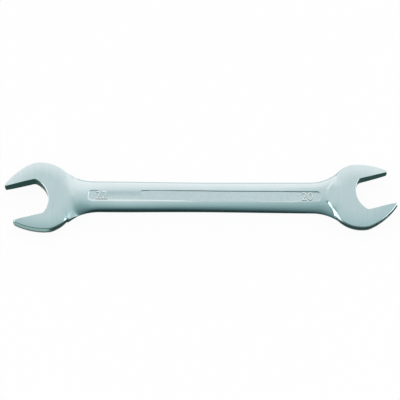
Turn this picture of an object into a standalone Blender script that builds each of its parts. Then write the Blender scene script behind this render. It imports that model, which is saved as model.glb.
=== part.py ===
"""Double open end wrench, 22 mm by 20 mm, lying flat.

One drop forging: a larger jaw at -X, a smaller jaw at +X and an oval shank
between them. Each jaw opens at a slant to the shank, so the wrench has the
usual flat S shape. Units are metres and +Z is up. The origin is the middle of
the bounding box's underside.
"""

import math
from dataclasses import dataclass

import bmesh
import bpy
from mathutils import Matrix, Vector

# Whole wrench
HEAD_SPACING = 0.1917
JAW_CLEARANCE = 0.0002

# Larger head
LARGE_NUT_SIZE = 0.0220
LARGE_THICKNESS = 0.0086
LARGE_RADIUS = 0.0220
LARGE_TIP_REACH = 0.0189
LARGE_THROAT_DEPTH = 0.0050
LARGE_THROAT_RADIUS = 0.0140
LARGE_SIDE_OFFSET = 0.0011
LARGE_SLANT = math.radians(14)
LARGE_NECK_OUTER_RADIUS = 0.0300
LARGE_NECK_INNER_RADIUS = 0.0330
LARGE_NUMBER = "22"

# Smaller head
SMALL_NUT_SIZE = 0.0200
SMALL_THICKNESS = 0.0080
SMALL_RADIUS = 0.0208
SMALL_TIP_REACH = 0.0190
SMALL_THROAT_DEPTH = 0.0030
SMALL_THROAT_RADIUS = 0.0142
SMALL_SIDE_OFFSET = 0.0011
SMALL_SLANT = math.radians(16)
SMALL_NECK_OUTER_RADIUS = 0.0270
SMALL_NECK_INNER_RADIUS = 0.0240
SMALL_NUMBER = "20"

# Both heads
CHEEK_START = 0.0020
CHEEK_POWER = 1.6
TIP_THICKNESS = 0.0014
TIP_ROUNDING = 0.0012
RIM_CHAMFER = 0.0007
THROAT_CORNER = 0.0030

# Shank, an oval that widens into both heads
WAIST_WIDTH = 0.0188
NECK_WIDTH = 0.0194
SHANK_THICKNESS = 0.0068
NECK_DROP = 0.0004
NECK_INSET = 0.0002
NECK_BLEND = 0.0090
CREST_POWER = 2.3
FLANK_POWER = 2.0
NECK_POWER = 3.0

# Recessed panel along both faces of the shank
PANEL_WIDTH = 0.0070
PANEL_DEPTH = 0.0005
PANEL_DRAFT = 0.0005
PANEL_CORNER = 0.0030
PANEL_TO_LARGE_HEAD = 0.0287
PANEL_TO_SMALL_HEAD = 0.0244

# Raised size number at each end of a panel
NUMBER_HEIGHT = 0.0050
NUMBER_RELIEF = 0.0003
NUMBER_ROOT = 0.0002
NUMBER_MARGIN = 0.0047

# How far a cutter runs past what it cuts, and the welding distance
OVERRUN = 0.0040
WELD = 0.000001

# Fineness of the curved surfaces
BACK_STEPS = 36
CHEEK_STEPS = 12
THROAT_STEPS = 18
CORNER_STEPS = 5
TIP_STEPS = 4
SECTION_STEPS = 32
WAIST_STEPS = 10
NECK_STEPS = 12
NUMBER_STEPS = 3

# Where the shank ends inside a head, as a share of the head's radius
ROOT_SHARE = 0.55

# Edges flatter than the first of these merge, edges sharper than the second are
# chamfered on a head's rim, and edges sharper than the third are shaded as crisp
FLAT_ANGLE = math.radians(0.1)
RIM_ANGLE = math.radians(60)
SHARP_ANGLE = math.radians(28)

# Satin chrome plate
PLATE_COLOUR = (0.47, 0.59, 0.60, 1.0)
PLATE_METALLIC = 1.0
PLATE_ROUGHNESS = 0.32


@dataclass
class Head:
    """One jaw end. The side is -1 for the end at -X and +1 for the end at +X."""

    name: str
    side: int
    nut_size: float
    thickness: float
    radius: float
    tip_reach: float
    throat_depth: float
    throat_radius: float
    offset: float
    slant: float
    neck_outer: float
    neck_inner: float

    @property
    def half_jaw(self):
        return (self.nut_size + JAW_CLEARANCE) / 2

    @property
    def throat_centre(self):
        return self.throat_radius - self.throat_depth

    @property
    def centre(self):
        return Vector((self.side * HEAD_SPACING / 2, self.side * self.offset, 0))

    @property
    def matrix(self):
        """Takes the head's own frame, where the jaw opens along +X, to the wrench."""
        turn = self.slant if self.side > 0 else math.pi + self.slant
        return Matrix.Translation(self.centre) @ Matrix.Rotation(turn, 4, "Z")


LARGE = Head(
    "large",
    -1,
    LARGE_NUT_SIZE,
    LARGE_THICKNESS,
    LARGE_RADIUS,
    LARGE_TIP_REACH,
    LARGE_THROAT_DEPTH,
    LARGE_THROAT_RADIUS,
    LARGE_SIDE_OFFSET,
    LARGE_SLANT,
    LARGE_NECK_OUTER_RADIUS,
    LARGE_NECK_INNER_RADIUS,
)
SMALL = Head(
    "small",
    1,
    SMALL_NUT_SIZE,
    SMALL_THICKNESS,
    SMALL_RADIUS,
    SMALL_TIP_REACH,
    SMALL_THROAT_DEPTH,
    SMALL_THROAT_RADIUS,
    SMALL_SIDE_OFFSET,
    SMALL_SLANT,
    SMALL_NECK_OUTER_RADIUS,
    SMALL_NECK_INNER_RADIUS,
)


# Outlines seen from above

def arc(centre, radius, start, end, steps):
    """Points along an arc, with both of its ends."""
    angles = [start + (end - start) * i / steps for i in range(steps + 1)]
    return [Vector((centre[0] + radius * math.cos(a), centre[1] + radius * math.sin(a)))
            for a in angles]


def round_corner(before, corner, after, radius, steps):
    """Points of the fillet that replaces a corner between two straight runs."""
    back = (before - corner).normalized()
    ahead = (after - corner).normalized()
    half = back.angle(ahead) / 2
    middle = corner + (back + ahead).normalized() * radius / math.sin(half)
    start = corner + back * radius / math.tan(half) - middle
    stop = corner + ahead * radius / math.tan(half) - middle
    turn = start.angle_signed(stop)
    points = []
    for i in range(steps + 1):
        spoke = start.copy()
        spoke.rotate(Matrix.Rotation(-turn * i / steps, 2))
        points.append(middle + spoke)
    return points


def blank_outline(head):
    """The head before its jaw is cut: round back, slimmer cheeks, blunt tips."""
    half_width = math.sqrt(head.radius**2 - CHEEK_START**2)
    tip_share = (head.half_jaw + TIP_THICKNESS) / half_width
    reach = (head.tip_reach + CHEEK_START) / (1 - tip_share**CHEEK_POWER) ** (1 / CHEEK_POWER)
    tip_angle = math.asin(tip_share ** (CHEEK_POWER / 2))
    cheek = []
    for i in range(CHEEK_STEPS):
        a = tip_angle + (math.pi / 2 - tip_angle) * i / CHEEK_STEPS
        x = reach * math.cos(a) ** (2 / CHEEK_POWER) - CHEEK_START
        cheek.append(Vector((x, half_width * math.sin(a) ** (2 / CHEEK_POWER))))
    front = Vector((head.tip_reach, 0))
    corner = round_corner(front, cheek[0], cheek[1], TIP_ROUNDING, TIP_STEPS)
    upper = corner + cheek[1:]
    lower = [Vector((p.x, -p.y)) for p in reversed(upper)]
    start = math.pi / 2 + math.asin(CHEEK_START / head.radius)
    back = arc((0, 0), head.radius, start, 2 * math.pi - start, BACK_STEPS)
    return upper + back + lower


def jaw_outline(head):
    """The slot: two flats, and a round throat between them with softened corners."""
    y = head.half_jaw - THROAT_CORNER
    x = head.throat_centre - math.sqrt((head.throat_radius - THROAT_CORNER) ** 2 - y**2)
    turn = math.atan2(y, x - head.throat_centre)
    upper = arc((x, y), THROAT_CORNER, math.pi / 2, turn, CORNER_STEPS)
    throat = arc(
        (head.throat_centre, 0), head.throat_radius, turn, 2 * math.pi - turn, THROAT_STEPS
    )
    lower = [Vector((p.x, -p.y)) for p in reversed(upper)]
    front = head.tip_reach + OVERRUN
    slot = upper + throat[1:-1] + lower
    return [Vector((front, head.half_jaw))] + slot + [Vector((front, -head.half_jaw))]


def panel_outline(inset):
    """Rounded rectangle of the recessed panel, drawn in on all sides by the inset."""
    left = LARGE.centre.x + PANEL_TO_LARGE_HEAD + inset
    right = SMALL.centre.x - PANEL_TO_SMALL_HEAD - inset
    half_width = PANEL_WIDTH / 2 - inset
    corner = PANEL_CORNER - inset
    points = []
    for x, y, quarter in (
        (right - corner, half_width - corner, 0),
        (left + corner, half_width - corner, 1),
        (left + corner, corner - half_width, 2),
        (right - corner, corner - half_width, 3),
    ):
        start = quarter * math.pi / 2
        points += arc((x, y), corner, start, start + math.pi / 2, CORNER_STEPS)
    return points


# Shank

def ease(t):
    """Smooth step from 0 to 1."""
    t = min(max(t, 0), 1)
    return t * t * (3 - 2 * t)


def neck_start(head, sign):
    """Distance from the head's middle at which an edge starts to flare."""
    outer = sign != head.side
    fillet = head.neck_outer if outer else head.neck_inner
    rise = NECK_WIDTH / 2 + fillet - sign * head.centre.y
    reach = head.radius - NECK_INSET + fillet
    return fillet, rise, math.sqrt(reach**2 - rise**2)


def neck_length(head):
    return max(neck_start(head, 1)[2], neck_start(head, -1)[2])


def edge(x, sign):
    """Y of the shank's edge at x: waist, then a fillet, then the head's rim."""
    head = LARGE if x < 0 else SMALL
    distance = abs(x - head.centre.x)
    fillet, rise, start = neck_start(head, sign)
    rim = head.radius - NECK_INSET
    if distance >= start:
        free = HEAD_SPACING / 2 - start
        spread = ease(abs(x) / free)
        return sign * (WAIST_WIDTH + (NECK_WIDTH - WAIST_WIDTH) * spread) / 2
    if distance >= start * rim / (rim + fillet):
        drop = rise - math.sqrt(fillet**2 - (start - distance) ** 2)
        return head.centre.y + sign * drop
    return head.centre.y + sign * math.sqrt(rim**2 - distance**2)


def neck_rise(x):
    """0 along the shank, rising to 1 where a neck meets the rim of its head."""
    head = LARGE if x < 0 else SMALL
    return ease((head.radius + NECK_BLEND - abs(x - head.centre.x)) / NECK_BLEND)


def shank_section(x):
    """Ring of points round the shank at x: an oval that squares up in the necks."""
    head = LARGE if x < 0 else SMALL
    top, bottom = edge(x, 1), edge(x, -1)
    middle, half_width = (top + bottom) / 2, (top - bottom) / 2
    rise = neck_rise(x)
    height = SHANK_THICKNESS / 2
    height += rise * (head.thickness / 2 - NECK_DROP - height)
    across = 2 / (CREST_POWER + rise * (NECK_POWER - CREST_POWER))
    upward = 2 / (FLANK_POWER + rise * (NECK_POWER - FLANK_POWER))
    ring = []
    for i in range(SECTION_STEPS):
        a = 2 * math.pi * i / SECTION_STEPS
        y = math.copysign(abs(math.cos(a)) ** across, math.cos(a)) * half_width
        z = math.copysign(abs(math.sin(a)) ** upward, math.sin(a)) * height
        ring.append(Vector((x, middle + y, z)))
    return ring


def shank_stations():
    """Places along the shank, closer together in the necks."""
    left_root = LARGE.centre.x + LARGE.radius * ROOT_SHARE
    left_neck = LARGE.centre.x + neck_length(LARGE)
    right_neck = SMALL.centre.x - neck_length(SMALL)
    right_root = SMALL.centre.x - SMALL.radius * ROOT_SHARE
    stations = []
    for start, end, steps in (
        (left_root, left_neck, NECK_STEPS),
        (left_neck, right_neck, WAIST_STEPS),
        (right_neck, right_root, NECK_STEPS),
    ):
        stations += [start + (end - start) * i / steps for i in range(steps)]
    return stations + [right_root]


# Solids

def new_object(name, mesh, collection):
    obj = bpy.data.objects.new(name, mesh)
    collection.objects.link(obj)
    return obj


def loft(name, rings, collection):
    """Closed solid through rings that all have the same number of points."""
    bm = bmesh.new()
    verts = [[bm.verts.new(p) for p in ring] for ring in rings]
    for a, b in zip(verts, verts[1:]):
        for i in range(len(a)):
            j = (i + 1) % len(a)
            bm.faces.new((a[i], a[j], b[j], b[i]))
    bm.faces.new(verts[0])
    bm.faces.new(verts[-1])
    bmesh.ops.recalc_face_normals(bm, faces=bm.faces[:])
    mesh = bpy.data.meshes.new(name)
    bm.to_mesh(mesh)
    bm.free()
    return new_object(name, mesh, collection)


def curve_to_solid(curve_object, collection):
    """Swaps a filled curve for the welded mesh of the same shape."""
    bpy.context.view_layer.update()
    graph = bpy.context.evaluated_depsgraph_get()
    mesh = bpy.data.meshes.new_from_object(curve_object.evaluated_get(graph))
    bm = bmesh.new()
    bm.from_mesh(mesh)
    bmesh.ops.remove_doubles(bm, verts=bm.verts[:], dist=WELD)
    bmesh.ops.recalc_face_normals(bm, faces=bm.faces[:])
    bm.to_mesh(mesh)
    bm.free()
    solid = new_object(curve_object.name + "_solid", mesh, collection)
    solid.matrix_world = curve_object.matrix_world
    curve = curve_object.data
    bpy.data.objects.remove(curve_object)
    bpy.data.curves.remove(curve)
    return solid


def plate(name, outline, thickness, matrix, collection):
    """Flat solid of the outline, centred on Z = 0 and placed by the matrix."""
    curve = bpy.data.curves.new(name, "CURVE")
    curve.dimensions = "2D"
    curve.fill_mode = "BOTH"
    curve.extrude = thickness / 2
    spline = curve.splines.new("POLY")
    spline.points.add(len(outline) - 1)
    for point, place in zip(spline.points, outline):
        point.co = (place.x, place.y, 0, 1)
    spline.use_cyclic_u = True
    obj = new_object(name, curve, collection)
    obj.matrix_world = matrix
    solid = curve_to_solid(obj, collection)
    bm = bmesh.new()
    bm.from_mesh(solid.data)
    bmesh.ops.dissolve_limit(
        bm, angle_limit=FLAT_ANGLE, verts=bm.verts[:], edges=bm.edges[:]
    )
    bm.to_mesh(solid.data)
    bm.free()
    return solid


def head_blank(head, collection):
    blank = plate(
        head.name + "_head", blank_outline(head), head.thickness, head.matrix, collection
    )
    chamfer = blank.modifiers.new("rim_chamfer", "BEVEL")
    chamfer.width = RIM_CHAMFER
    chamfer.segments = 1
    chamfer.limit_method = "ANGLE"
    chamfer.angle_limit = RIM_ANGLE
    return blank


def jaw_cutter(head, collection):
    depth = head.thickness + 2 * OVERRUN
    return plate(head.name + "_jaw", jaw_outline(head), depth, head.matrix, collection)


def panel_cutter(face, collection):
    """Cutter of the panel on the top (face 1) or the underside (face -1)."""
    crown = SHANK_THICKNESS / 2
    levels = (
        (crown - PANEL_DEPTH, PANEL_DRAFT),
        (crown, 0),
        (crown + OVERRUN, 0),
    )
    rings = []
    for height, inset in levels:
        ring = [Vector((p.x, p.y, face * height)) for p in panel_outline(inset)]
        rings.append(ring)
    return loft("panel", rings, collection)


def number(text, head, face, collection):
    """Raised number in the panel's end by the head, read from its own face."""
    curve = bpy.data.curves.new("number_" + text, "FONT")
    curve.body = text
    curve.extrude = (NUMBER_RELIEF + NUMBER_ROOT) / 2
    curve.resolution_u = NUMBER_STEPS
    obj = new_object(head.name + "_number", curve, collection)
    solid = curve_to_solid(obj, collection)
    xs = [v.co.x for v in solid.data.vertices]
    ys = [v.co.y for v in solid.data.vertices]
    scale = NUMBER_HEIGHT / (max(ys) - min(ys))
    width = (max(xs) - min(xs)) * scale
    if head.side < 0:
        left = head.centre.x + PANEL_TO_LARGE_HEAD + NUMBER_MARGIN
    else:
        left = head.centre.x - PANEL_TO_SMALL_HEAD - NUMBER_MARGIN - width
    height = SHANK_THICKNESS / 2 - PANEL_DEPTH + (NUMBER_RELIEF - NUMBER_ROOT) / 2
    place = Matrix.Translation((left, -NUMBER_HEIGHT / 2, height))
    size = Matrix.Diagonal((scale, scale, 1, 1))
    corner = Matrix.Translation((-min(xs), -min(ys), 0))
    solid.data.transform(place @ size @ corner)
    if face < 0:
        solid.data.transform(Matrix.Rotation(math.pi, 4, "X"))
    return solid


def combine(body, tool, operation):
    step = body.modifiers.new(tool.name, "BOOLEAN")
    step.operation = operation
    step.solver = "EXACT"
    step.object = tool
    tool.hide_render = True
    tool.display_type = "WIRE"


def plate_material():
    material = bpy.data.materials.new("satin_chrome")
    material.use_nodes = True
    shader = material.node_tree.nodes["Principled BSDF"]
    shader.inputs["Base Color"].default_value = PLATE_COLOUR
    shader.inputs["Metallic"].default_value = PLATE_METALLIC
    shader.inputs["Roughness"].default_value = PLATE_ROUGHNESS
    material.diffuse_color = PLATE_COLOUR
    return material


def bake_steps(body, tools):
    """Applies the body's steps for good and clears the tools away."""
    bpy.context.view_layer.update()
    graph = bpy.context.evaluated_depsgraph_get()
    mesh = bpy.data.meshes.new_from_object(body.evaluated_get(graph))
    body.modifiers.clear()
    body.data = mesh
    mesh.name = body.name
    for tool in list(tools.objects):
        bpy.data.objects.remove(tool, do_unlink=True)


def main():
    for obj in list(bpy.data.objects):
        bpy.data.objects.remove(obj, do_unlink=True)
    parts = bpy.data.collections.new("open_end_wrench")
    tools = bpy.data.collections.new("wrench_tools")
    bpy.context.scene.collection.children.link(parts)
    bpy.context.scene.collection.children.link(tools)

    body = loft("wrench", [shank_section(x) for x in shank_stations()], parts)
    body.data.materials.append(plate_material())

    # The heads join the shank, then the jaws, panels and numbers are worked
    heads = (LARGE, SMALL)
    for head in heads:
        combine(body, head_blank(head, tools), "UNION")
    for head in heads:
        combine(body, jaw_cutter(head, tools), "DIFFERENCE")
    for face in (1, -1):
        combine(body, panel_cutter(face, tools), "DIFFERENCE")
        combine(body, number(LARGE_NUMBER, LARGE, face, tools), "UNION")
        combine(body, number(SMALL_NUMBER, SMALL, face, tools), "UNION")

    bake_steps(body, tools)
    body.data.shade_smooth()
    body.data.set_sharp_from_angle(angle=SHARP_ANGLE)

    # The origin goes to the middle of the underside
    points = [v.co for v in body.data.vertices]
    low = Vector([min(p[i] for p in points) for i in range(3)])
    high = Vector([max(p[i] for p in points) for i in range(3)])
    middle = (low + high) / 2
    body.data.transform(Matrix.Translation((-middle.x, -middle.y, -low.z)))


main()
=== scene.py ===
"""Looks of the double open end wrench: one forging in satin chrome, lying flat."""

import math
from dataclasses import dataclass

import bmesh
import bpy
import numpy as np
from mathutils import Matrix, Vector
from mathutils.geometry import delaunay_2d_cdt
from mathutils.kdtree import KDTree


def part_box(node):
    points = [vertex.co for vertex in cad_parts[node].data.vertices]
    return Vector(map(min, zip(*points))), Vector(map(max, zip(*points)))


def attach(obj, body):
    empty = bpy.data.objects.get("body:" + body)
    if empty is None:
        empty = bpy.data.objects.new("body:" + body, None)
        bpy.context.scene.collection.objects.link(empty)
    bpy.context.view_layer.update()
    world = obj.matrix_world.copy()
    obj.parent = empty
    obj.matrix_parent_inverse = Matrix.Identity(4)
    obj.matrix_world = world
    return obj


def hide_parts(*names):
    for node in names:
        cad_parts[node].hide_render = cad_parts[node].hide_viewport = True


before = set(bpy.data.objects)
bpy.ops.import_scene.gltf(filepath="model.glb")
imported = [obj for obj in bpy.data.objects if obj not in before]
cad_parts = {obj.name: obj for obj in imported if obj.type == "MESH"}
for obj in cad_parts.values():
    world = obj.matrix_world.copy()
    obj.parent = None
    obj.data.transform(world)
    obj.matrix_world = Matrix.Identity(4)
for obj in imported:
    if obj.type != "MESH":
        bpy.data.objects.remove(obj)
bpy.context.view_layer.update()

# Camera: a long lens above the front edge, as the photograph's 400 x 400 frame has it
IMAGE_WIDTH_PX = 400
METRES_PER_PIXEL = 0.0005965
CAMERA_ELEVATION = math.radians(69)
CAMERA_ROLL = math.radians(0.4)
LENS_MM = 250
SENSOR_MM = 36
WRENCH_CENTRE_PX = (200.75, 197.5)
CLIP_RATIO = 100

# Whole wrench, in metres, with a hair off all round to stay inside the plain part's box
PLAY_SHARE = 0.9999
HEAD_SPACING = 0.1917
JAW_CLEARANCE = 0.0002
PARTING_LAND = 0.0002
WALL_LEAN = 0.00035
SHARP_ANGLE = math.radians(40)

# Outline of both heads
CHEEK_START = 0.0020
CHEEK_POWER = 1.6
CHEEK_POINTS = 400
CHEEK_AIM_POINT = 12
TIP_THICKNESS = 0.0014
TIP_ROUNDING = 0.0012
TIP_EDGE = 0.0004
THROAT_CORNER = 0.0030

# Rim of both heads, its angles counted from the neck's axis
RIM_BEVEL = 0.0003
RIM_BLEND = RIM_BEVEL / 4
JAW_BEVEL = 0.00012
JAW_BLEND = JAW_BEVEL / 3
BEVEL_MIDDLE = math.radians(32)
BEVEL_FADE = math.radians(8)
CROWN_START = math.radians(15)
CROWN_FADE = math.radians(22)

# Soft lip and hidden wall where a head rises from its neck
NECK_LIP_SLOPE = 0.10
NECK_LIP_FLANK = 0.26
NECK_LIP_SPREAD = math.radians(15)
NECK_LIP_WIDTH = 0.0010
NECK_LIP_FADE = 0.0120
NECK_WALL_LEAN = 0.0080
NECK_WALL_FADE = 4
NECK_OVERLAP = 0.0040
NECK_SINK_SLOPE = 2

# Shank, its tables as (place along it, power of the oval across, power of the oval upwards)
WAIST_WIDTH = 0.0186
NECK_WIDTH = 0.0194
SHANK_THICKNESS = 0.0068
NECK_DROP = 0.0004
NECK_BLEND = 0.0090
NECK_REACH = 0.0300
HEAD_ZONE = 4 * NECK_BLEND
REAR_POWER = (
    (-0.0720, 2.0, 1.5),
    (-0.0450, 2.8, 2.0),
    (0.0480, 2.8, 2.0),
    (0.0600, 3.6, 2.0),
)
FRONT_POWER = (
    (-0.0710, 2.0, 1.02),
    (-0.0670, 2.2, 1.30),
    (-0.0640, 2.6, 1.80),
    (-0.0430, 3.4, 2.10),
    (-0.0240, 2.8, 2.00),
    (-0.0060, 2.6, 1.90),
    (0.0145, 2.4, 1.75),
    (0.0470, 2.15, 1.50),
    (0.0650, 2.0, 1.40),
    (0.0720, 2.0, 1.20),
)

# Panel, its tables as (place along it, slope of the wall) and, in front, the wall's shift
PANEL_WIDTH = 0.0070
PANEL_DEPTH = 0.0004
PANEL_CORNER = 0.0024
PANEL_REAR_SHIFT = -0.0003
PANEL_EDGE = 0.00012
PANEL_TO_LARGE_HEAD = 0.0287
PANEL_TO_SMALL_HEAD = 0.0244
PANEL_REAR_SLOPE = (
    (-0.0676, 0.3),
    (-0.0664, 1.0),
    (-0.0625, 1.2),
    (-0.0600, 0.035),
    (-0.0360, 0.035),
    (-0.0300, 3.6),
    (-0.0100, 2.6),
    (0.0025, 1.5),
    (0.0085, 0.9),
    (0.0230, 0.9),
    (0.0470, 1.4),
    (0.0590, 0.7),
    (0.0695, 0.7),
    (0.0708, 0.4),
)
PANEL_FRONT_SLOPE = (
    (-0.0680, 0.50, 0.0004),
    (-0.0560, 0.28, 0.0007),
    (-0.0250, 0.28, 0.0007),
    (-0.0100, 0.60, 0.0004),
    (0.0000, 2.00, 0.0002),
    (0.0500, 2.00, 0.0002),
    (0.0560, 0.35, 0.0006),
    (0.0710, 0.35, 0.0006),
)

# Raised size number at each end of a panel
NUMBER_HEIGHT = 0.0050
NUMBER_RELIEF = 0.0004
NUMBER_ROOT = 0.0002
NUMBER_EDGE = 0.00008
NUMBER_MARGIN = 0.0047
NUMBER_SHARP_ANGLE = math.radians(30)
NUMBER_CURVE_STEPS = 6
NUMBER_WELD_SHARE = 0.0001
TRIAL_DEPTH = 0.1

# Spacing of the mesh's points
STEP = 0.00042
SAME_POINT = STEP / 10
MERGE_DISTANCE = 1e-7
GRID = 0.00058
GRID_GAP = GRID * 0.55
FACE_GRID = 0.0013
FACE_GRID_GAP = FACE_GRID * 0.5
FACE_INSET = 0.0024
ROW_CLEAR_SHARE = 0.985
JOIN_SHARE = 1.05
RIM_ROWS = (0.00006, 0.00013, 0.00021, 0.0003, 0.00038, 0.0005, 0.00065, 0.00085, 0.00108, 0.0014)
PANEL_ROWS = (
    -0.0009, -0.0007, -0.0005, -0.00028, -0.00014, -0.00006,
    0.0, 0.00005, 0.0001, 0.00015, 0.0002, 0.00028, 0.0004,
    0.0006, 0.0008, 0.001, 0.00115, 0.0013, 0.0016,
)
NECK_ROWS = (
    0.0022, 0.0019, 0.0016, 0.00135, 0.0011, 0.0009, 0.0007, 0.0005,
    0.00035, 0.0002, 0.00008, -0.00005, -0.0002, -0.0004, -0.0007, -0.0011,
)
NECK_ROW_SWEEP = 1.05
NECK_ROW_GAP = 0.00012
NECK_ROW_RIM = RIM_ROWS[-1] * 0.6

# Guards for the sums: points handled at a time, and the least divisor
CHUNK = 2000
TINY = 1e-18

# Zones of the surface: how steep a wall is, for the painted shade on walls, where a wall is pale, for a
# painted floor reflection, and how fast an edge bends, for wear with a painted highlight and for painted
# shade in hollows
WALL_UPRIGHT = 0.45
# Steepness reaches further onto slopes that face the front, away from the light, so the painted shade
# covers them too
WALL_UPRIGHT_FRONT = 0.29
WALL_UPRIGHT_FADE = 0.2
PALE_WALL_MIDDLE = -0.1010
PALE_WALL_REACH = 0.0130
PALE_WALL_FADE = 0.004
PALE_WALL_BOTTOM = -0.0005
PALE_WALL_RISE = 0.001
GROUND_FADE = 0.0012
PANEL_FADE = 0.0009
WEAR_AND_HIGHLIGHT_BEND = 1500
HOLLOW_SHADE_BEND = 2500
DIGIT_TOP = 0.6
DIGIT_TOP_FADE = 0.3

# Colours of the satin chrome, with painted shade on walls and in hollows, a painted floor reflection on
# one wall, and wear with a painted highlight on edges
FACE_COLOUR = (0.466, 0.597, 0.612)
PANEL_COLOUR = (0.472, 0.590, 0.608)
# Lighter colour on convex edges: partly wear, partly painted highlight
WEAR_AND_HIGHLIGHT_COLOUR = (0.60, 0.71, 0.72)
# Painted shade in hollows
HOLLOW_SHADE_COLOUR = (0.36, 0.47, 0.47)
# Painted shade on steep walls
WALL_SHADE_COLOUR = (0.028, 0.056, 0.052)
# Painted reflection of the lit floor on part of the large head's lower wall
PALE_WALL_REFLECTION_COLOUR = (0.28, 0.44, 0.42)
EDGE_TINT = (0.90, 0.93, 0.93)
# Duller grazing reflection on steep walls, which keeps their painted shade dark
WALL_SHADE_TINT = (0.48, 0.56, 0.54)

# Grain and clouds of the chrome, in cycles per metre, and what they do to it
GROUND_STREAKS = (1500, 45, 45)
SHANK_STREAKS = (45, 1500, 1500)
MOTTLE = (900, 900, 900)
CLOUDS = (55, 55, 55)
NOISE_DETAIL = 3.0
NOISE_ROUGHNESS = 0.6
MOTTLE_DETAIL = 4.0
FACE_GRAIN_SHARE = 0.16
PANEL_GRAIN_SHARE = 0.34
CLOUD_SHARE = 0.10
FACE_ROUGHNESS = 0.22
PANEL_ROUGHNESS = 0.34
WORN_ROUGHNESS = 0.14
GRAIN_ROUGHNESS = 0.12
CLOUD_ROUGHNESS = 0.10
BUMP_STRENGTH = 0.35
BUMP_DEPTH = 0.00003

# Studio, its sky as (degrees from straight up towards the front, colour)
SKY = (
    (-180, (0.55, 0.57, 0.57)),
    (-100, (1.78, 1.55, 1.55)),
    (-75, (1.72, 1.47, 1.47)),
    (-60, (1.60, 1.40, 1.40)),
    (-45, (1.48, 1.33, 1.32)),
    (-38, (1.42, 1.29, 1.28)),
    (-33, (1.30, 1.20, 1.20)),
    (-28, (1.14, 1.09, 1.08)),
    (-21, (1.00, 1.00, 1.00)),
    (-12, (0.95, 0.97, 0.98)),
    (-5, (0.87, 0.92, 0.93)),
    (0, (0.76, 0.83, 0.84)),
    (6, (0.64, 0.75, 0.75)),
    (12, (0.54, 0.66, 0.66)),
    (20, (0.42, 0.55, 0.55)),
    (28, (0.31, 0.43, 0.44)),
    (36, (0.20, 0.29, 0.30)),
    (46, (0.10, 0.17, 0.18)),
    (58, (0.04, 0.08, 0.085)),
    (72, (0.012, 0.03, 0.03)),
    (100, (0.012, 0.03, 0.03)),
    (180, (0.55, 0.57, 0.57)),
)
SIDE_LIGHT = (1.7, 1.7, 1.7)
SIDE_LIGHT_START = 0.66
SIDE_LIGHT_FULL = 0.92
LAMP_WIDTH = 0.5
LAMP_HEIGHT = 0.25
LAMP_RADIANCE = 1.8
LAMP_PLACE = (0.6, -0.1, 0.2)
FLOOR_SIZE = 8
FLOOR_COLOUR = (0.9, 0.9, 0.9, 1)
GLOW_COLOUR = (1, 1, 1, 1)
GLOW_SHARE = 0.94


@dataclass
class Head:
    """One jaw end. The side is -1 for the end at -X and +1 for the end at +X.

    The neck's outer hollow is on the side that the jaw slants away from. The bevel is the
    wide one on the shoulders, the setback moves the lip inwards above the neck, and the
    crown is how far the face falls to the rim, with crown_front as its extra share in front.
    """

    side: int
    nut_size: float
    thickness: float
    radius: float
    tip_reach: float
    throat_depth: float
    throat_radius: float
    offset: float
    slant: float
    neck_outer: float
    neck_inner: float
    neck_bevel: float
    bevel_start: float
    bevel_reach: float
    setback: float
    setback_start: float
    setback_end: float
    crown_drop: float
    crown_width: float
    crown_front: float
    crest_shift: float
    number: str

    @property
    def half_jaw(self):
        return (self.nut_size + JAW_CLEARANCE) / 2

    @property
    def throat_centre(self):
        return self.throat_radius - self.throat_depth

    @property
    def centre(self):
        return np.array([self.side * HEAD_SPACING / 2, self.side * self.offset])

    @property
    def turn(self):
        return self.slant if self.side > 0 else math.pi + self.slant

    def axes(self):
        c, s = math.cos(self.turn), math.sin(self.turn)
        return np.array([[c, s], [-s, c]])

    def to_wrench(self, points):
        return np.asarray(points) @ self.axes() + self.centre

    def to_head(self, points):
        return (np.asarray(points) - self.centre) @ self.axes().T


LARGE = Head(
    side=-1,
    nut_size=0.0220,
    thickness=0.0086,
    radius=0.0220,
    tip_reach=0.0189,
    throat_depth=0.0050,
    throat_radius=0.0140,
    offset=0.0011,
    slant=math.radians(14),
    neck_outer=0.0300,
    neck_inner=0.0330,
    neck_bevel=0.0006,
    bevel_start=math.radians(38),
    bevel_reach=math.radians(10),
    setback=0.0035,
    setback_start=math.radians(18),
    setback_end=math.radians(48),
    crown_drop=0.00098,
    crown_width=0.0085,
    crown_front=0.3,
    crest_shift=0.0,
    number="22",
)
SMALL = Head(
    side=1,
    nut_size=0.0200,
    thickness=0.0080,
    radius=0.0208,
    tip_reach=0.0190,
    throat_depth=0.0030,
    throat_radius=0.0142,
    offset=0.0011,
    slant=math.radians(16),
    neck_outer=0.0270,
    neck_inner=0.0240,
    neck_bevel=0.0018,
    bevel_start=math.radians(10),
    bevel_reach=math.radians(18),
    setback=0.0,
    setback_start=math.radians(10),
    setback_end=math.radians(30),
    crown_drop=0.00122,
    crown_width=0.0105,
    crown_front=0.0,
    crest_shift=0.0013,
    number="20",
)
HEADS = (LARGE, SMALL)


# Lines in the plane

def arc(centre, radius, start, end, step=STEP):
    """Points along an arc, from one angle to the other."""
    count = max(3, math.ceil(abs(end - start) * radius / step))
    a = np.linspace(start, end, count + 1)
    return np.c_[centre[0] + radius * np.cos(a), centre[1] + radius * np.sin(a)]


def respace(line, step=STEP):
    """The same line with its points at even steps, its ends kept."""
    run = np.r_[0, np.cumsum(np.hypot(*np.diff(line, axis=0).T))]
    count = max(1, round(run[-1] / step))
    at = np.linspace(0, run[-1], count + 1)
    return np.c_[np.interp(at, run, line[:, 0]), np.interp(at, run, line[:, 1])]


def chain(*lines):
    """Lines joined end to end, with a shared end kept once."""
    points = [lines[0]]
    for line in lines[1:]:
        near = np.hypot(*(points[-1][-1] - line[0])) < SAME_POINT
        points.append(line[1:] if near else line)
    return np.concatenate(points)


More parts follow.
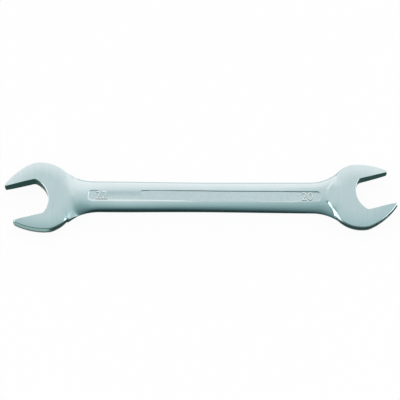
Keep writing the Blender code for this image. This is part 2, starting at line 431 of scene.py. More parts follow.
def fillet(before, corner, after, radius):
    """Arc that rounds the corner between two straight runs."""
    back = (before - corner) / np.hypot(*(before - corner))
    ahead = (after - corner) / np.hypot(*(after - corner))
    half = math.acos(np.clip(back @ ahead, -1, 1)) / 2
    middle = corner + (back + ahead) / np.hypot(*(back + ahead)) * radius / math.sin(half)
    start = corner + back * radius / math.tan(half) - middle
    stop = corner + ahead * radius / math.tan(half) - middle
    a = math.atan2(start[1], start[0])
    turn = math.atan2(start[0] * stop[1] - start[1] * stop[0], start @ stop)
    return arc(middle, radius, a, a + turn, STEP / 2)


def ease(t):
    """Soft step from nought to one."""
    t = np.clip(t, 0, 1)
    return t * t * (3 - 2 * t)


def cheek(head):
    """Upper cheek in the head's frame, from its tip corner back to the round."""
    half_width = math.sqrt(head.radius**2 - CHEEK_START**2)
    share = (head.half_jaw + TIP_THICKNESS) / half_width
    reach = (head.tip_reach + CHEEK_START) / (1 - share**CHEEK_POWER) ** (1 / CHEEK_POWER)
    a = np.linspace(math.asin(share ** (CHEEK_POWER / 2)), math.pi / 2, CHEEK_POINTS)
    x = reach * np.cos(a).clip(0) ** (2 / CHEEK_POWER) - CHEEK_START
    return np.c_[x, half_width * np.sin(a) ** (2 / CHEEK_POWER)]


def upper_tip(head):
    """From the end of the upper flat round the tip and back along the cheek."""
    line = cheek(head)
    corner = line[0]
    inner = np.array([head.tip_reach, head.half_jaw])
    flat = np.array([0, head.half_jaw])
    nose = fillet(inner, corner, line[CHEEK_AIM_POINT], TIP_ROUNDING)
    edge = fillet(flat, inner, corner, TIP_EDGE)
    beyond = line[np.hypot(*(line - corner).T) > np.hypot(*(nose[-1] - corner)) * JOIN_SHARE]
    return edge, respace(chain(edge[-1:], nose[:1])), nose, respace(chain(nose[-1:], beyond))


def mirrored(line):
    """The same line on the other side of the jaw, run the other way."""
    return (line * np.array([1, -1]))[::-1]


def neck_fillet(head, sign):
    """Centre and radius of the hollow between the shank's edge and the head's rim."""
    radius = head.neck_outer if sign != head.side else head.neck_inner
    rise = NECK_WIDTH / 2 + radius - sign * head.centre[1]
    start = math.sqrt((head.radius + radius) ** 2 - rise**2)
    x = head.centre[0] - head.side * start
    return np.array([x, sign * (NECK_WIDTH / 2 + radius)]), radius


def rim_angle(head, sign):
    """Where the hollow meets the rim, as an angle in the head's frame."""
    centre, _ = neck_fillet(head, sign)
    way = head.to_head(centre)
    return math.atan2(way[1], way[0])


def slot_line(head):
    """Jaw flats and throat, from the lower tip to the upper one."""
    y = head.half_jaw - THROAT_CORNER
    x = head.throat_centre - math.sqrt((head.throat_radius - THROAT_CORNER) ** 2 - y**2)
    turn = math.atan2(y, x - head.throat_centre)
    corner = arc((x, y), THROAT_CORNER, math.pi / 2, turn)
    flat = respace(np.array([upper_tip(head)[0][0], corner[0]]))
    throat = arc((head.throat_centre, 0), head.throat_radius, turn, math.pi)
    upper = chain(flat, corner, throat)
    return chain(upper * (1, -1), upper[::-1])


def head_line(head):
    """The head's outline in its own frame, anticlockwise from neck to neck."""
    turn = math.pi / 2 + math.asin(CHEEK_START / head.radius)
    lower = arc((0, 0), head.radius, rim_angle(head, -head.side), -turn)
    upper = arc((0, 0), head.radius, turn, rim_angle(head, head.side))
    edge, front, nose, side = upper_tip(head)
    outer = chain(edge, front, nose, side)
    return chain(lower, mirrored(outer), slot_line(head), outer, upper)


def blank_line(head):
    """The head's outline with no jaw cut, closed, for distances to the rim."""
    _, _, nose, side = upper_tip(head)
    turn = math.pi / 2 + math.asin(CHEEK_START / head.radius)
    back = arc((0, 0), head.radius, turn, 2 * math.pi - turn)
    outer = chain(nose, side)
    front = respace(np.array([mirrored(outer)[-1], outer[0]]))
    return chain(outer, back, mirrored(outer), front)


def waist_line(sign):
    """One edge of the shank between the two necks, towards +X."""
    left, right = (neck_fillet(head, sign)[0][0] for head in HEADS)
    x = np.linspace(left, right, math.ceil((right - left) / STEP))
    free = np.where(x < 0, -left, right)
    return np.c_[x, sign * (WAIST_WIDTH + (NECK_WIDTH - WAIST_WIDTH) * ease(abs(x) / free)) / 2]


def hollow_line(head, sign):
    """The neck's hollow, from the shank to the rim."""
    centre, radius = neck_fillet(head, sign)
    way = head.centre - centre
    start = -sign * math.pi / 2
    stop = math.atan2(way[1], way[0])
    return arc(centre, radius, start, stop)


def outline():
    """The whole wrench seen from above, anticlockwise, as one closed line."""
    line = chain(
        hollow_line(LARGE, -1)[::-1],
        waist_line(-1),
        hollow_line(SMALL, -1),
        SMALL.to_wrench(head_line(SMALL)),
        hollow_line(SMALL, 1)[::-1],
        waist_line(1)[::-1],
        hollow_line(LARGE, 1),
        LARGE.to_wrench(head_line(LARGE)),
    )
    return line[:-1] if np.hypot(*(line[0] - line[-1])) < SAME_POINT else line


# Distances

def segment_distance(points, line):
    """Least distance from each point to a line of segments."""
    a, b = line[:-1], line[1:]
    way = b - a
    length = np.maximum((way**2).sum(1), TINY)
    found = np.empty(len(points))
    for i in range(0, len(points), CHUNK):
        p = points[i : i + CHUNK, None]
        t = np.clip(((p - a) * way).sum(2) / length, 0, 1)
        found[i : i + CHUNK] = np.hypot(*np.moveaxis(p - a - t[..., None] * way, 2, 0)).min(1)
    return found


def inside(points, line):
    """Whether each point is inside a closed line."""
    a, b = line, np.roll(line, -1, axis=0)
    found = np.empty(len(points), bool)
    for i in range(0, len(points), CHUNK):
        x, y = np.moveaxis(points[i : i + CHUNK, :, None], 1, 0)
        spans = (a[:, 1] > y) != (b[:, 1] > y)
        with np.errstate(divide="ignore", invalid="ignore"):
            cross = a[:, 0] + (y - a[:, 1]) * (b[:, 0] - a[:, 0]) / (b[:, 1] - a[:, 1])
        found[i : i + CHUNK] = (spans & (x < cross)).sum(1) % 2 == 1
    return found


def panel_depth(points):
    """Distance inwards from the panel's outline, negative outside it."""
    left = LARGE.centre[0] + PANEL_TO_LARGE_HEAD
    right = SMALL.centre[0] - PANEL_TO_SMALL_HEAD
    half = np.array([(right - left) / 2, PANEL_WIDTH / 2]) - PANEL_CORNER
    away = np.abs(points - np.array([(left + right) / 2, 0])) - half
    outside = np.hypot(*np.maximum(away, 0).T)
    return PANEL_CORNER - outside - np.minimum(away.max(1), 0)


def panel_line(inset):
    """The panel's outline, drawn in by so much, without its last point."""
    left = LARGE.centre[0] + PANEL_TO_LARGE_HEAD + inset
    right = SMALL.centre[0] - PANEL_TO_SMALL_HEAD - inset
    half = PANEL_WIDTH / 2 - inset
    corner = PANEL_CORNER - inset
    corners = (
        (right - corner, half - corner),
        (left + corner, half - corner),
        (left + corner, corner - half),
        (right - corner, corner - half),
    )
    quarters = [
        arc(place, corner, i * math.pi / 2, (i + 1) * math.pi / 2)
        for i, place in enumerate(corners)
    ]
    line = np.concatenate([*quarters, quarters[0][:1]])
    return respace(line)[:-1]


# Height of the upper surface over the mid-plane

def smooth_max(a, b, reach):
    """The larger of two heights, with a round hollow where they cross."""
    share = np.clip(0.5 + (a - b) / (2 * reach), 0, 1)
    return a * share + b * (1 - share) + reach * share * (1 - share)


def smooth_min(a, b, reach):
    """The smaller of two heights, with a round edge where they cross."""
    return -smooth_max(-a, -b, reach)


def edge_height(x, sign):
    """Y of the shank's edge, and inside a head of its rim."""
    found = np.empty_like(x)
    for head in HEADS:
        here = x * head.side >= 0
        centre, radius = neck_fillet(head, sign)
        out = (x[here] - centre[0]) * head.side
        near = np.minimum(np.abs(x[here] - head.centre[0]), head.radius)
        meets = abs(centre[0] - head.centre[0]) * head.radius / (head.radius + radius)
        free = abs(centre[0])
        y = sign * (WAIST_WIDTH + (NECK_WIDTH - WAIST_WIDTH) * ease(np.abs(x[here]) / free)) / 2
        hollow = centre[1] - sign * np.sqrt(np.maximum(radius**2 - np.maximum(out, 0) ** 2, 0))
        rim = head.centre[1] + sign * np.sqrt(head.radius**2 - near**2)
        y = np.where(out > 0, hollow, y)
        found[here] = np.where((near < meets) | ((x[here] - head.centre[0]) * head.side > 0), rim, y)
    return found


def profile_at(x, table):
    """Each column of a table of (place, values) at places along the wrench."""
    places, *columns = np.transpose(table)
    return [np.interp(x, places, column) for column in columns]


def shank_height(points):
    """Height of the shank's oval with the panel sunk into it."""
    x, y = points.T
    top, bottom = edge_height(x, 1), edge_height(x, -1)
    rise = np.zeros_like(x)
    near = np.zeros_like(x)
    crest = (top + bottom) / 2
    crown = np.full_like(x, SHANK_THICKNESS / 2)
    for head in HEADS:
        here = x * head.side >= 0
        away = np.abs(x[here] - head.centre[0])
        rise[here] = ease((head.radius + NECK_BLEND - away) / NECK_BLEND)
        near[here] = ease((head.radius + NECK_REACH - away) / NECK_REACH)
        crown[here] += rise[here] * (head.thickness / 2 - NECK_DROP - SHANK_THICKNESS / 2)
        crest[here] += near[here] * head.crest_shift
    front = y < crest
    t = np.clip(np.where(front, (crest - y) / (crest - bottom), (y - crest) / (top - crest)), 0, 1)
    front_power, front_flank = profile_at(x, FRONT_POWER)
    rear_power, rear_flank = profile_at(x, REAR_POWER)
    power = np.where(front, front_power, rear_power)
    flank = np.where(front, front_flank, rear_flank)
    oval = PARTING_LAND + (crown - PARTING_LAND) * (1 - t**power) ** (1 / flank)
    floor = SHANK_THICKNESS / 2 - PANEL_DEPTH
    lower = ease(0.5 - y / PANEL_WIDTH)
    (rear_slope,) = profile_at(x, PANEL_REAR_SLOPE)
    front_slope, front_shift = profile_at(x, PANEL_FRONT_SLOPE)
    slope = rear_slope + lower * (front_slope - rear_slope)
    shift = PANEL_REAR_SHIFT + lower * (front_shift - PANEL_REAR_SHIFT)
    wall = SHANK_THICKNESS / 2 - (panel_depth(points) + shift) * slope
    return smooth_min(oval, smooth_max(wall, floor, PANEL_EDGE), PANEL_EDGE)


def rim_profile(head, angle):
    """The rim at an angle: its slope, width, crown and setback, and how free of the neck it is.

    The rim is a soft lip on the neck, a broad bevel on the shoulders and narrow beyond.
    """
    off = math.pi - np.abs((angle + math.pi) % (2 * math.pi) - math.pi)
    peak = np.exp(-(((off - BEVEL_MIDDLE) / head.bevel_reach) ** 2))
    free = ease((off - head.bevel_start) / BEVEL_FADE)
    lip = NECK_LIP_SLOPE + (NECK_LIP_FLANK - NECK_LIP_SLOPE) * ease(off / NECK_LIP_SPREAD)
    slope = lip + (1 - lip) * free
    width = RIM_BEVEL + (head.neck_bevel - RIM_BEVEL) * peak
    crown = head.crown_drop * ease((off - CROWN_START) / CROWN_FADE)
    front = np.clip(-np.sin(angle) * head.side, 0, 1) * (1 + np.cos(off)) / 2
    crown *= 1 + head.crown_front * front
    back = ease((off - head.setback_start) / (head.setback_end - head.setback_start))
    setback = head.setback * (1 - back)
    return slope, NECK_LIP_WIDTH + (width - NECK_LIP_WIDTH) * free, crown, setback, free


def surface_height(points, lines):
    """Height of the upper surface at points of the plane."""
    height = shank_height(points)
    for head, (blank, slot) in zip(HEADS, lines):
        near = np.hypot(*(points - head.centre).T) < head.radius + HEAD_ZONE
        local = head.to_head(points[near])
        rim = segment_distance(local, blank)
        rim = np.where(inside(local, blank[:-1]), rim, -rim)
        world = points[near] - head.centre
        angle = np.arctan2(world[:, 1], world[:, 0])
        angle = angle if head.side > 0 else angle + math.pi
        slope, width, crown, setback, free = rim_profile(head, angle)
        half = head.thickness / 2
        roll = crown * np.maximum(1 - np.maximum(rim, 0) / head.crown_width, 0) ** 2
        spread = (1 - free) ** NECK_WALL_FADE * NECK_WALL_LEAN
        wall = (rim + spread) / (WALL_LEAN + spread)
        wall = PARTING_LAND + wall * (half - crown - slope * width - PARTING_LAND)
        down = width + WALL_LEAN + setback - rim
        bend = (1 - free) * np.maximum(down, 0) ** 2 / NECK_LIP_FADE
        bevel = half - roll - slope * (down + bend)
        pad = smooth_min(half - roll, bevel, RIM_BLEND)
        pad = smooth_min(pad, wall, RIM_BLEND)
        cut = segment_distance(local, slot)
        pad = smooth_min(pad, half - JAW_BEVEL + cut, JAW_BLEND)
        sunk = height[near] - np.maximum(rim - setback - NECK_OVERLAP, 0) * NECK_SINK_SLOPE
        joined = smooth_max(pad, sunk, NECK_DROP)
        height[near] = np.where(rim > -NECK_BLEND, joined, height[near])
    return np.maximum(height, PARTING_LAND)


# Mesh

class Cloud:
    """Points of the mesh with lines to keep, thinned where rows crowd each other."""

    def __init__(self):
        self.points = np.empty((0, 2))
        self.edges = []

    def add(self, line, gap, closed=False, keep=None):
        """Adds the line's points that lie further than the gap from those there already."""
        good = np.ones(len(line), bool) if keep is None else keep.copy()
        if len(self.points) and gap:
            tree = KDTree(len(self.points))
            for i, p in enumerate(self.points):
                tree.insert((p[0], p[1], 0), i)
            tree.balance()
            for i in np.flatnonzero(good):
                good[i] = tree.find((line[i][0], line[i][1], 0))[2] > gap
        index = np.full(len(line), -1)
        index[good] = len(self.points) + np.arange(good.sum())
        self.points = np.r_[self.points, line[good]]
        pairs = range(len(line) if closed else len(line) - 1)
        for i in pairs:
            a, b = index[i], index[(i + 1) % len(line)]
            if a >= 0 and b >= 0:
                self.edges.append((int(a), int(b)))

    def scatter(self, points, gap):
        """Adds points with no lines between them."""
        count = len(self.edges)
        self.add(points, gap)
        del self.edges[count:]


def normals_of(line):
    """Inward normals of a closed anticlockwise line."""
    way = np.roll(line, -1, axis=0) - np.roll(line, 1, axis=0)
    way /= np.hypot(*way.T)[:, None]
    return np.c_[-way[:, 1], way[:, 0]]


def hex_grid(low, high, step):
    """Points in even rows, with each second row moved by half a step."""
    points = []
    for i, y in enumerate(np.arange(low[1], high[1], step * math.sqrt(3) / 2)):
        x = np.arange(low[0] + (i % 2) * step / 2, high[0], step)
        points.append(np.c_[x, np.full(len(x), y)])
    return np.concatenate(points)


def build_cloud(line):
    """Points that follow the outline, the panel's edge and the necks, then an even fill."""
    cloud = Cloud()
    cloud.add(line, 0, closed=True)
    closed = np.r_[line, line[:1]]
    inward = normals_of(line)
    for row in RIM_ROWS:
        shifted = line + inward * row
        clear = segment_distance(shifted, closed) > row * ROW_CLEAR_SHARE
        clear &= inside(shifted, line)
        cloud.add(shifted, 0, closed=True, keep=clear)
    for inset in PANEL_ROWS:
        cloud.add(panel_line(inset), 0, closed=True)
    for head in HEADS:
        middle = math.pi if head.side > 0 else 0
        for inset in NECK_ROWS:
            row = arc(head.centre, head.radius - inset, middle - NECK_ROW_SWEEP, middle + NECK_ROW_SWEEP)
            clear = inside(row, line) & (segment_distance(row, closed) > NECK_ROW_RIM)
            cloud.add(row, NECK_ROW_GAP, keep=clear)
    x_reach, y_reach = np.abs(line).max(0)
    fine = hex_grid((-x_reach, -y_reach), (x_reach, y_reach), GRID)
    on_face = np.zeros(len(fine), bool)
    for head in HEADS:
        on_face |= np.hypot(*(fine - head.centre).T) < head.radius - FACE_INSET
        on_face |= (fine[:, 0] - head.centre[0]) * head.side > 0
    fine = fine[~on_face & (panel_depth(fine) < 0)]
    fine = fine[inside(fine, line)]
    cloud.scatter(fine, GRID_GAP)
    coarse = hex_grid((-x_reach, -y_reach), (x_reach, y_reach), FACE_GRID)
    coarse = coarse[inside(coarse, line)]
    cloud.scatter(coarse, FACE_GRID_GAP)
    return cloud


def flat_triangles(line):
    """Points and anticlockwise triangles that fill the outline."""
    cloud = build_cloud(line)
    points = [Vector(p) for p in cloud.points]
    verts, _, faces, _, _, _ = delaunay_2d_cdt(points, cloud.edges, [], 0, MERGE_DISTANCE)
    plane = np.array([(v.x, v.y) for v in verts])
    faces = np.array([f[:] for f in faces])
    faces = faces[inside(plane[faces].mean(1), line)]
    a, b, c = (plane[faces[:, i]] for i in range(3))
    area = (b[:, 0] - a[:, 0]) * (c[:, 1] - a[:, 1]) - (b[:, 1] - a[:, 1]) * (c[:, 0] - a[:, 0])
    faces[area < 0] = faces[area < 0][:, ::-1]
    return plane, faces


def open_edges(faces):
    """Edges with a face on one side only, each in its face's own direction."""
    edges = np.concatenate([faces[:, [0, 1]], faces[:, [1, 2]], faces[:, [2, 0]]])
    _, first, count = np.unique(np.sort(edges, axis=1), axis=0, return_index=True, return_counts=True)
    return edges[first[count == 1]]


def build_mesh():
    """The upper surface, its mirror image below and the wall between the two."""
    plane, faces = flat_triangles(outline())
    lines = [(np.r_[b, b[:1]], s) for b, s in ((blank_line(h), slot_line(h)) for h in HEADS)]
    used = np.unique(faces)
    height = np.zeros(len(plane))
    height[used] = surface_height(plane[used], lines)

    bm = bmesh.new()
    top = {}
    bottom = {}
    for i in used:
        x, y = plane[i]
        top[i] = bm.verts.new((x, y, height[i]))
        bottom[i] = bm.verts.new((x, y, -height[i]))
    for f in faces:
        bm.faces.new([top[i] for i in f])
        bm.faces.new([bottom[i] for i in f[::-1]])
    for a, b in open_edges(faces):
        bm.faces.new((top[a], bottom[a], bottom[b], top[b]))
    mesh = bpy.data.meshes.new("wrench_forging")
    bm.to_mesh(mesh)
    bm.free()
    return mesh


# Surface zones, kept as attributes for the material

def vertex_values(mesh, name):
    """A place or a normal for each point of the mesh, as rows of three."""
    values = np.empty(3 * len(mesh.vertices), np.float32)
    mesh.vertices.foreach_get(name, values)
    return values.reshape(-1, 3).astype(float)


def corner_normals(mesh):
    """The shading normal at each corner of each face."""
    normals = np.empty(3 * len(mesh.loops), np.float32)
    mesh.corner_normals.foreach_get("vector", normals)
    return normals.reshape(-1, 3)


def add_attribute(mesh, name, values, domain="POINT"):
    """Keeps a number for each point or face corner, for the material to read."""
    layer = mesh.attributes.new(name, "FLOAT", domain)
    layer.data.foreach_set("value", np.asarray(values, np.float32))


def curvature(mesh, points):
    """How fast the surface bends at each point, positive on outer edges, per metre."""
    normals = vertex_values(mesh, "normal")
    pairs = np.empty(2 * len(mesh.edges), np.int32)
    mesh.edges.foreach_get("vertices", pairs)
    a, b = pairs.reshape(-1, 2).T
    way = points[b] - points[a]
    bend = ((normals[b] - normals[a]) * way).sum(1) / np.maximum((way**2).sum(1), TINY)
    total = np.bincount(a, bend, len(points)) + np.bincount(b, bend, len(points))
    count = np.bincount(a, minlength=len(points)) + np.bincount(b, minlength=len(points))
    return total / np.maximum(count, 1)


def add_zones(mesh):
    """Marks steep walls for painted shade, a pale wall for a painted floor reflection, ground faces, the
    panel's floor, edges for wear and a painted highlight, and hollows for painted shade.
    """
    points = vertex_values(mesh, "co")
    plane = points[:, :2]
    x, y, z = corner_normals(mesh).T
    # Painted shade on steep walls, reaching further onto slopes that face the front, away from the light
    front = np.clip(-y / np.maximum(np.hypot(x, y), TINY), 0, 1)
    limit = WALL_UPRIGHT + WALL_UPRIGHT_FRONT * front
    add_attribute(mesh, "painted_wall_shade", ease((limit - np.abs(z)) / WALL_UPRIGHT_FADE), "CORNER")
    # Painted reflection of the lit floor on part of the large head's lower wall, in place of the painted
    # wall shade
    along = ease((PALE_WALL_REACH - np.abs(plane[:, 0] - PALE_WALL_MIDDLE)) / PALE_WALL_FADE)
    above = ease((points[:, 2] - PALE_WALL_BOTTOM) / PALE_WALL_RISE)
    add_attribute(mesh, "pale", along * (plane[:, 1] < -LARGE.radius / 2) * above)
    ground = np.zeros(len(points))
    for head in HEADS:
        inner = head.radius - np.hypot(*(plane - head.centre).T)
        outer = (plane[:, 0] - head.centre[0]) * head.side
        ground = np.maximum(ground, ease(np.maximum(inner, outer) / GROUND_FADE))
    add_attribute(mesh, "ground", ground)
    add_attribute(mesh, "panel", ease(panel_depth(plane) / PANEL_FADE))
    bend = curvature(mesh, points)
    # Convex edges: partly wear, partly painted highlight
    add_attribute(mesh, "wear_and_highlight", ease(bend / WEAR_AND_HIGHLIGHT_BEND))
    # Concave hollows: painted shade
    add_attribute(mesh, "hollow", ease(-bend / HOLLOW_SHADE_BEND))


# Raised numbers

def number_mesh(text, size, depth, edge):
    """Solid digits of one font size and depth, with a small bevel on their edges."""
    curve = bpy.data.curves.new("size_number_" + text, "FONT")
    curve.body = text
    curve.size = size
    curve.resolution_u = NUMBER_CURVE_STEPS
    curve.extrude = depth / 2 - edge
    curve.bevel_depth = edge
    curve.bevel_resolution = 1
    curve.offset = -edge
    digits = bpy.data.objects.new("digits", curve)
    bpy.context.scene.collection.objects.link(digits)
    bpy.context.view_layer.update()
    graph = bpy.context.evaluated_depsgraph_get()
    made = bpy.data.meshes.new_from_object(digits.evaluated_get(graph))
    bpy.data.objects.remove(digits)
    bpy.data.curves.remove(curve)
    bm = bmesh.new()
    bm.from_mesh(made)
    bmesh.ops.remove_doubles(bm, verts=bm.verts[:], dist=size * NUMBER_WELD_SHARE)
    bmesh.ops.recalc_face_normals(bm, faces=bm.faces[:])
    bm.to_mesh(made)
    bm.free()
    return made


def add_number(head, face, lift):
    """The head's number in its end of the panel, read from its own face."""
    trial = number_mesh(head.number, 1, TRIAL_DEPTH, 0)
    points = vertex_values(trial, "co")
    bpy.data.meshes.remove(trial)
    size = NUMBER_HEIGHT / np.ptp(points[:, 1])
    made = number_mesh(head.number, size, NUMBER_RELIEF + NUMBER_ROOT, NUMBER_EDGE)
    points = vertex_values(made, "co")
    width = np.ptp(points[:, 0])
    if head.side < 0:
        left = head.centre[0] + PANEL_TO_LARGE_HEAD + NUMBER_MARGIN
    else:
        left = head.centre[0] - PANEL_TO_SMALL_HEAD - NUMBER_MARGIN - width
    x = left - points[:, 0].min()
    y = -NUMBER_HEIGHT / 2 - points[:, 1].min()
    z = SHANK_THICKNESS / 2 - PANEL_DEPTH + (NUMBER_RELIEF - NUMBER_ROOT) / 2
    made.transform(Matrix.Translation((x, y, z)))
    if face < 0:
        made.transform(Matrix.Rotation(math.pi, 4, "X"))
    made.transform(Matrix.Translation(lift))
    made.shade_smooth()
    made.set_sharp_from_angle(angle=NUMBER_SHARP_ANGLE)
    # Digit tops get a painted highlight, partly wear, and their sides a painted shade
    tops = ease((corner_normals(made)[:, 2] * face - DIGIT_TOP) / DIGIT_TOP_FADE)
    add_attribute(made, "wear_and_highlight", tops, "CORNER")
    add_attribute(made, "painted_wall_shade", 1 - tops, "CORNER")
    name = "size_number_" + head.number + ("_upper" if face > 0 else "_lower")
    made.name = name
    digits = bpy.data.objects.new(name, made)
    bpy.context.scene.collection.objects.link(digits)
    return digits


# Shader helpers

def node(tree, kind, **values):
    """New shader node with its plain values set and its inputs linked."""
    made = tree.nodes.new(kind)
    inputs = values.pop("inputs", {})
    for name, value in values.items():
        setattr(made, name, value)
    for name, value in inputs.items():
        socket = made.inputs[name]
        if isinstance(value, bpy.types.NodeSocket):
            tree.links.new(value, socket)
        else:
            socket.default_value = value
    return made


def maths(tree, operation, *values):
    """One sum on numbers or sockets."""
    inputs = dict(enumerate(values))
    return node(tree, "ShaderNodeMath", operation=operation, inputs=inputs).outputs[0]


def ramp(tree, value, stops):
    """Colour ramp through stops of (place, colour)."""
    made = node(tree, "ShaderNodeValToRGB", inputs={"Fac": value})
    elements = made.color_ramp.elements
    while len(elements) < len(stops):
        elements.new(0.5)
    for element, (place, colour) in zip(elements, stops):
        element.position = place
        element.color = (*colour, 1)
    return made.outputs["Color"]


def mix(tree, share, a, b, kind="RGBA"):
    """Mix of two colours, or of two plain numbers where the kind is FLOAT."""
    made = node(tree, "ShaderNodeMix", data_type=kind)
    for name, value in (("Factor", share), ("A", a), ("B", b)):
        socket = next(i for i in made.inputs if i.name == name and i.enabled)
        if isinstance(value, bpy.types.NodeSocket):
            tree.links.new(value, socket)
        elif kind == "RGBA" and name != "Factor":
            socket.default_value = (*value, 1)
        else:
            socket.default_value = value
    return next(o for o in made.outputs if o.enabled)


def noise(tree, place, scale, detail=NOISE_DETAIL):
    """Noise at so many cycles per metre along each axis, averaging a half."""
    mapped = node(tree, "ShaderNodeMapping", inputs={"Vector": place, "Scale": scale}).outputs[0]
    inputs = {"Vector": mapped, "Scale": 1.0, "Detail": detail, "Roughness": NOISE_ROUGHNESS}
    return node(tree, "ShaderNodeTexNoise", inputs=inputs).outputs["Fac"]


def vary(tree, base, pattern, share):
    """A base number, moved up and down by a share of a pattern that averages a half."""
    return maths(tree, "MULTIPLY_ADD", maths(tree, "SUBTRACT", pattern, 0.5), share, base)


def attribute(tree, name):
    """A zone of the surface, as a number from nought to one."""
    return node(tree, "ShaderNodeAttribute", attribute_name=name).outputs["Fac"]


# Satin chrome

def chrome():
    """Plate over ground head faces, a drawn shank and a panel left as it was forged, with painted shade
    on walls and in hollows, a painted floor reflection on one wall, and wear with a painted highlight on
    edges.
    """
    material = bpy.data.materials.new("satin_chrome")
    material.use_nodes = True
    tree = material.node_tree
    shader = tree.nodes["Principled BSDF"]
    place = node(tree, "ShaderNodeTexCoord").outputs["Object"]
    panel = attribute(tree, "panel")
    wear_and_highlight = attribute(tree, "wear_and_highlight")
    across = noise(tree, place, GROUND_STREAKS)
    along = noise(tree, place, SHANK_STREAKS)
    mottle = noise(tree, place, MOTTLE, MOTTLE_DETAIL)
    clouds = noise(tree, place, CLOUDS)
    streaks = mix(tree, attribute(tree, "ground"), along, across, "FLOAT")
    grain = mix(tree, panel, streaks, mottle, "FLOAT")

    colour = mix(tree, panel, FACE_COLOUR, PANEL_COLOUR)
    # Lighter convex edges and digit tops: partly wear, partly painted highlight
    colour = mix(tree, wear_and_highlight, colour, WEAR_AND_HIGHLIGHT_COLOUR)
    # Painted shade in hollows
    colour = mix(tree, attribute(tree, "hollow"), colour, HOLLOW_SHADE_COLOUR)
    # Painted shade on steep walls, lighter where the pale mask puts a painted floor reflection
    walls = mix(tree, attribute(tree, "pale"), WALL_SHADE_COLOUR, PALE_WALL_REFLECTION_COLOUR)
    colour = mix(tree, attribute(tree, "painted_wall_shade"), colour, walls)
    grain_share = mix(tree, panel, FACE_GRAIN_SHARE, PANEL_GRAIN_SHARE, "FLOAT")
    light = vary(tree, 1.0, grain, grain_share)
    light = vary(tree, light, clouds, CLOUD_SHARE)
    inputs = {0: colour, "Scale": light}
    colour = node(tree, "ShaderNodeVectorMath", operation="SCALE", inputs=inputs).outputs[0]
    tree.links.new(colour, shader.inputs["Base Color"])

    rough = mix(tree, panel, FACE_ROUGHNESS, PANEL_ROUGHNESS, "FLOAT")
    rough = mix(tree, wear_and_highlight, rough, WORN_ROUGHNESS, "FLOAT")
    rough = vary(tree, rough, grain, GRAIN_ROUGHNESS)
    rough = vary(tree, rough, clouds, CLOUD_ROUGHNESS)
    tree.links.new(rough, shader.inputs["Roughness"])
    inputs = {"Strength": BUMP_STRENGTH, "Distance": BUMP_DEPTH, "Height": grain}
    bump = node(tree, "ShaderNodeBump", inputs=inputs).outputs[0]
    tree.links.new(bump, shader.inputs["Normal"])
    shader.inputs["Metallic"].default_value = 1
    # Duller grazing reflection on steep walls keeps their painted shade dark
    tint = mix(tree, attribute(tree, "painted_wall_shade"), EDGE_TINT, WALL_SHADE_TINT)
    tree.links.new(tint, shader.inputs["Specular Tint"])
    return material


# Camera and studio

def add_camera(target):
    """Camera on the front side, looking down at the target."""
    data = bpy.data.cameras.new("photo_camera")
    data.lens = LENS_MM
    data.sensor_width = SENSOR_MM
    frame_width = METRES_PER_PIXEL * IMAGE_WIDTH_PX
    distance = frame_width * LENS_MM / SENSOR_MM
    camera = bpy.data.objects.new("photo_camera", data)
    bpy.context.scene.collection.objects.link(camera)
    back = Vector((0, -math.cos(CAMERA_ELEVATION), math.sin(CAMERA_ELEVATION)))
    turn = (-back).to_track_quat("-Z", "Y").to_matrix().to_4x4()
    turn = turn @ Matrix.Rotation(CAMERA_ROLL, 4, "Z")
    right = turn.to_3x3() @ Vector((1, 0, 0))
    up = turn.to_3x3() @ Vector((0, 1, 0))
    half = IMAGE_WIDTH_PX / 2
    shift = right * (half - WRENCH_CENTRE_PX[0]) + up * (WRENCH_CENTRE_PX[1] - half)
    place = target + shift * METRES_PER_PIXEL + back * distance
    camera.matrix_world = Matrix.Translation(place) @ turn
    data.clip_start = distance / CLIP_RATIO
    data.clip_end = distance * CLIP_RATIO
    bpy.context.scene.camera = camera


def add_world():
    """Soft box overhead and behind, a dark card in front, and pale sides."""
    world = bpy.data.worlds.new("studio")
    world.use_nodes = True
    tree = world.node_tree
    way = node(tree, "ShaderNodeTexCoord").outputs["Generated"]
    parts = node(tree, "ShaderNodeSeparateXYZ", inputs={"Vector": way}).outputs
    front = maths(tree, "MULTIPLY", parts["Y"], -1.0)
    tilt = maths(tree, "ARCTAN2", front, parts["Z"])
    place = maths(tree, "MULTIPLY_ADD", tilt, 0.5 / math.pi, 0.5)
    sky = ramp(tree, place, [(0.5 + a / 360, c) for a, c in SKY])
    aside = maths(tree, "ABSOLUTE", parts["X"])
    inputs = {"Value": aside, "From Min": SIDE_LIGHT_START, "From Max": SIDE_LIGHT_FULL}
    fade = node(tree, "ShaderNodeMapRange", interpolation_type="SMOOTHSTEP", inputs=inputs)
    colour = mix(tree, fade.outputs["Result"], sky, SIDE_LIGHT)
    tree.links.new(colour, tree.nodes["Background"].inputs["Color"])
    bpy.context.scene.world = world


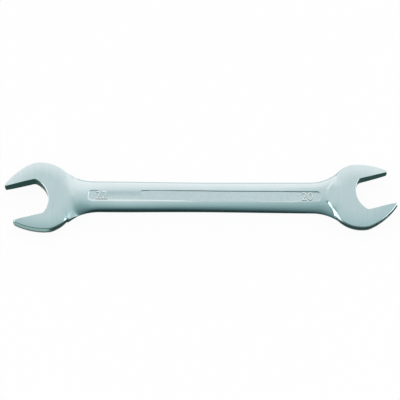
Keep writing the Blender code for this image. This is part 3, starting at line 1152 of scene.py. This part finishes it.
def add_floor():
    """Pale floor that the camera and the metal see as white, and that keeps the shadow."""
    bpy.ops.mesh.primitive_plane_add(size=FLOOR_SIZE)
    floor = bpy.context.object
    floor.name = "floor"
    floor_material = bpy.data.materials.new("floor_white")
    floor_material.use_nodes = True
    tree = floor_material.node_tree
    tree.nodes.clear()
    matt = node(tree, "ShaderNodeBsdfDiffuse", inputs={"Color": FLOOR_COLOUR}).outputs[0]
    glow = node(tree, "ShaderNodeEmission", inputs={"Color": GLOW_COLOUR, "Strength": 1.0}).outputs[0]
    path = node(tree, "ShaderNodeLightPath").outputs
    seen = maths(tree, "MAXIMUM", path["Is Camera Ray"], path["Is Glossy Ray"])
    seen = maths(tree, "MAXIMUM", seen, path["Is Transmission Ray"])
    share = maths(tree, "MULTIPLY", seen, GLOW_SHARE)
    both = node(tree, "ShaderNodeMixShader", inputs={0: share, 1: matt, 2: glow}).outputs[0]
    output = node(tree, "ShaderNodeOutputMaterial")
    tree.links.new(both, output.inputs["Surface"])
    floor.data.materials.append(floor_material)


def add_side_lamps():
    """Two low soft boxes, left and right of the wrench."""
    for side in (-1, 1):
        lamp = bpy.data.lights.new("side_light", "AREA")
        lamp.shape = "RECTANGLE"
        lamp.size = LAMP_WIDTH
        lamp.size_y = LAMP_HEIGHT
        lamp.energy = LAMP_RADIANCE * math.pi * LAMP_WIDTH * LAMP_HEIGHT
        lamp_object = bpy.data.objects.new("side_light", lamp)
        bpy.context.scene.collection.objects.link(lamp_object)
        place = Vector(LAMP_PLACE) * Vector((side, 1, 1))
        aim = place.to_track_quat("Z", "Y").to_matrix().to_4x4()
        lamp_object.matrix_world = Matrix.Translation(place) @ aim
        lamp_object.visible_camera = False


def main():
    """Dresses the plain wrench, then sets the camera, the world, the floor and the lamps."""
    plate = chrome()
    mesh = build_mesh()
    add_zones(mesh)
    low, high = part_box("wrench")
    points = vertex_values(mesh, "co")
    middle = Vector((points.min(0) + points.max(0)) / 2)
    origin = (Vector(low) + Vector(high)) / 2 - middle
    mesh.transform(Matrix.Translation(origin) @ Matrix.Scale(PLAY_SHARE, 4))
    mesh.shade_smooth()
    mesh.set_sharp_from_angle(angle=SHARP_ANGLE)
    body = bpy.data.objects.new("wrench_forging", mesh)
    bpy.context.scene.collection.objects.link(body)
    pieces = [body] + [add_number(head, face, origin) for head in HEADS for face in (1, -1)]
    for piece in pieces:
        piece.data.materials.clear()
        piece.data.materials.append(plate)
        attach(piece, "root")
        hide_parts("wrench")

    add_camera(origin)
    add_world()
    add_floor()
    add_side_lamps()
    bpy.context.scene.view_settings.view_transform = "Standard"


main()
